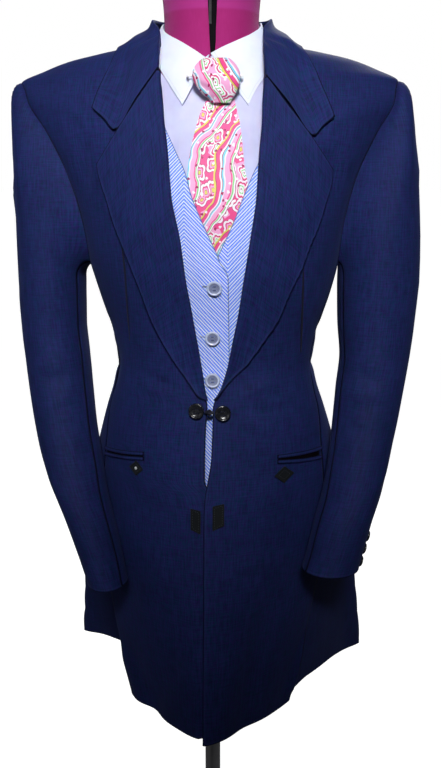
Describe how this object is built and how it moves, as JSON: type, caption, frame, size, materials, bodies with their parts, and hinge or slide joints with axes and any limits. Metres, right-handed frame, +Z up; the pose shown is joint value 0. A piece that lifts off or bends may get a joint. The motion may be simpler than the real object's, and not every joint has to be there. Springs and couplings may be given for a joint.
{
  "type": "day suit on a dress form",
  "caption": "Navy day suit: long notch-lapel coat over a light blue waistcoat, white shirt and printed tie, on a limbless raspberry dress form with a round stand.",
  "frame": {"origin": "centre of the underside of the stand's round base, on the floor", "axes": "+Z up, along the pole; the front of the suit faces -Y; +X is towards the wearer's left arm, the right side for someone who looks at the front"},
  "size_m": [0.5092, 0.4252, 1.5],
  "materials": {
    "coat_cloth": "navy worsted, fine upright streaks, dull",
    "waistcoat_cloth": "light blue bird's-eye weave, dull",
    "shirt_cloth": "smooth white cotton",
    "tie_silk": "printed silk, soft sheen",
    "form_cloth": "raspberry jersey",
    "black_trim": "black velvet-like patch",
    "black_button": "polished black",
    "pearl_button": "clear grey, polished",
    "stand_metal": "black satin",
    "bright_metal": "polished"
  },
  "bodies": {
    "root": {"coat_back_left": "coat_cloth", "coat_back_right": "coat_cloth", "coat_collar": "coat_cloth", "coat_collar_stand": "coat_cloth", "coat_front_left": "coat_cloth", "coat_front_right": "coat_cloth", "coat_side_left": "coat_cloth", "coat_side_right": "coat_cloth", "collar_bar": "bright_metal", "cuff_button_left_1": "black_button", "cuff_button_left_2": "black_button", "cuff_button_left_3": "black_button", "cuff_button_right_1": "black_button", "cuff_button_right_2": "black_button", "cuff_button_right_3": "black_button", "diamond_patch_left": "black_trim", "diamond_patch_right": "black_trim", "diamond_snap": "bright_metal", "edge_patch_left": "black_trim", "edge_patch_right": "black_trim", "form_neck_slot": "black_trim", "form_torso": "form_cloth", "lapel_left": "coat_cloth", "lapel_right": "coat_cloth", "link_bar": "black_button", "link_button_left": "black_button", "link_button_right": "black_button", "pocket_welt_lower_left": "coat_cloth", "pocket_welt_lower_right": "coat_cloth", "pocket_welt_upper_left": "coat_cloth", "pocket_welt_upper_right": "coat_cloth", "shirt_collar_band": "shirt_cloth", "shirt_collar_leaf": "shirt_cloth", "shirt_front_left": "shirt_cloth", "shirt_front_right": "shirt_cloth", "sleeve_under_left": "coat_cloth", "sleeve_under_right": "coat_cloth", "sleeve_upper_left": "coat_cloth", "sleeve_upper_right": "coat_cloth", "stand_base": "stand_metal", "stand_pole": "stand_metal", "stand_socket": "stand_metal", "tie_blade": "tie_silk", "tie_knot": "tie_silk", "waistcoat_back": "waistcoat_cloth", "waistcoat_button_1": "pearl_button", "waistcoat_button_2": "pearl_button", "waistcoat_button_3": "pearl_button", "waistcoat_front_left": "waistcoat_cloth", "waistcoat_front_right": "waistcoat_cloth"}
  },
  "joints": []
}
